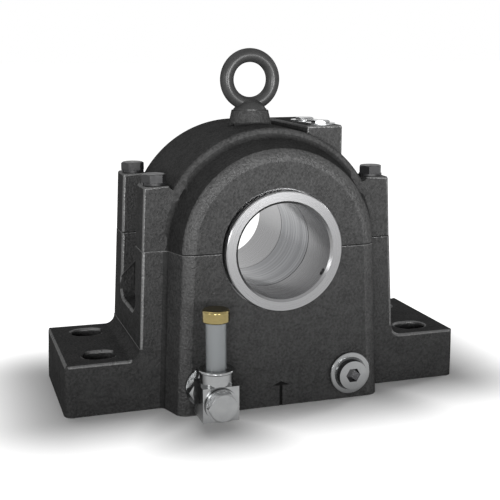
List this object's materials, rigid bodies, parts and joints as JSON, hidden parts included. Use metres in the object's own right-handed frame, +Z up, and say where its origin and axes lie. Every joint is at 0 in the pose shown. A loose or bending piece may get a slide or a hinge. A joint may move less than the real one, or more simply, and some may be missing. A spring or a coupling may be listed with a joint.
{
  "type": "split plummer block",
  "caption": "Split plummer block with labyrinth seals, oil gauge and eye bolt, carrying a shaft in a self-aligning roller bearing on an adapter sleeve.",
  "frame": {"origin": "centre of the mounting face, at the middle of the four bolt slots", "axes": "+Y along the shaft from the gauge's side to the far side, +X along the base, +Z up"},
  "size_m": [0.357, 0.2338, 0.2973],
  "materials": {
    "painted_iron": "cast skin under semi-gloss black paint",
    "painted_steel": "forged, semi-gloss black paint",
    "dark_steel": "blackened",
    "turned_steel": "fine turned",
    "bearing_steel": "ground",
    "cage_steel": "pressed",
    "plated_steel": "zinc plated, satin",
    "seal_metal": "soft, dull",
    "seal_rubber": "matt",
    "brass": "turned",
    "gauge_glass": "clear tube"
  },
  "bodies": {
    "housing": {"housing_base": "painted_iron", "housing_cap": "painted_iron", "cap_bolts": "dark_steel", "cap_bolt_washers": "dark_steel", "eye_bolt": "painted_steel", "dowel_pins": "bearing_steel", "pad_plugs": "plated_steel", "pad_plug_seals": "seal_metal", "drain_plug": "plated_steel", "drain_plug_seal": "seal_metal", "gauge_elbow": "plated_steel", "gauge_lock_nut": "plated_steel", "gauge_washer": "plated_steel", "gauge_collar_nut": "plated_steel", "gauge_glass": "gauge_glass", "gauge_glass_seal": "seal_rubber", "gauge_cap": "brass", "gauge_end_plug": "plated_steel", "gauge_end_seal": "seal_metal", "bearing_outer_ring": "bearing_steel", "locating_rings": "bearing_steel"},
    "rotor": {"labyrinth_ring_front": "turned_steel", "labyrinth_ring_rear": "turned_steel", "grub_screws": "dark_steel", "adapter_sleeve": "turned_steel", "sleeve_nut": "bearing_steel", "tab_washer": "bearing_steel", "bearing_inner_ring": "bearing_steel"},
    "cage": {"cage_front": "cage_steel", "cage_rear": "cage_steel", "rollers_front": "bearing_steel", "rollers_rear": "bearing_steel", "guide_ring": "bearing_steel"}
  },
  "joints": [
    {"name": "rotor_spin", "type": "hinge", "parent": "housing", "child": "rotor", "pos_m": [0, 0, 0.135], "axis": [0, 1, 0], "continuous": true},
    {"name": "cage_spin", "type": "hinge", "parent": "housing", "child": "cage", "pos_m": [0, 0, 0.135], "axis": [0, 1, 0], "continuous": true}
  ],
  "couplings": [
    {"joint": "cage_spin", "follows": "rotor_spin", "ratio": 0.4218}
  ]
}
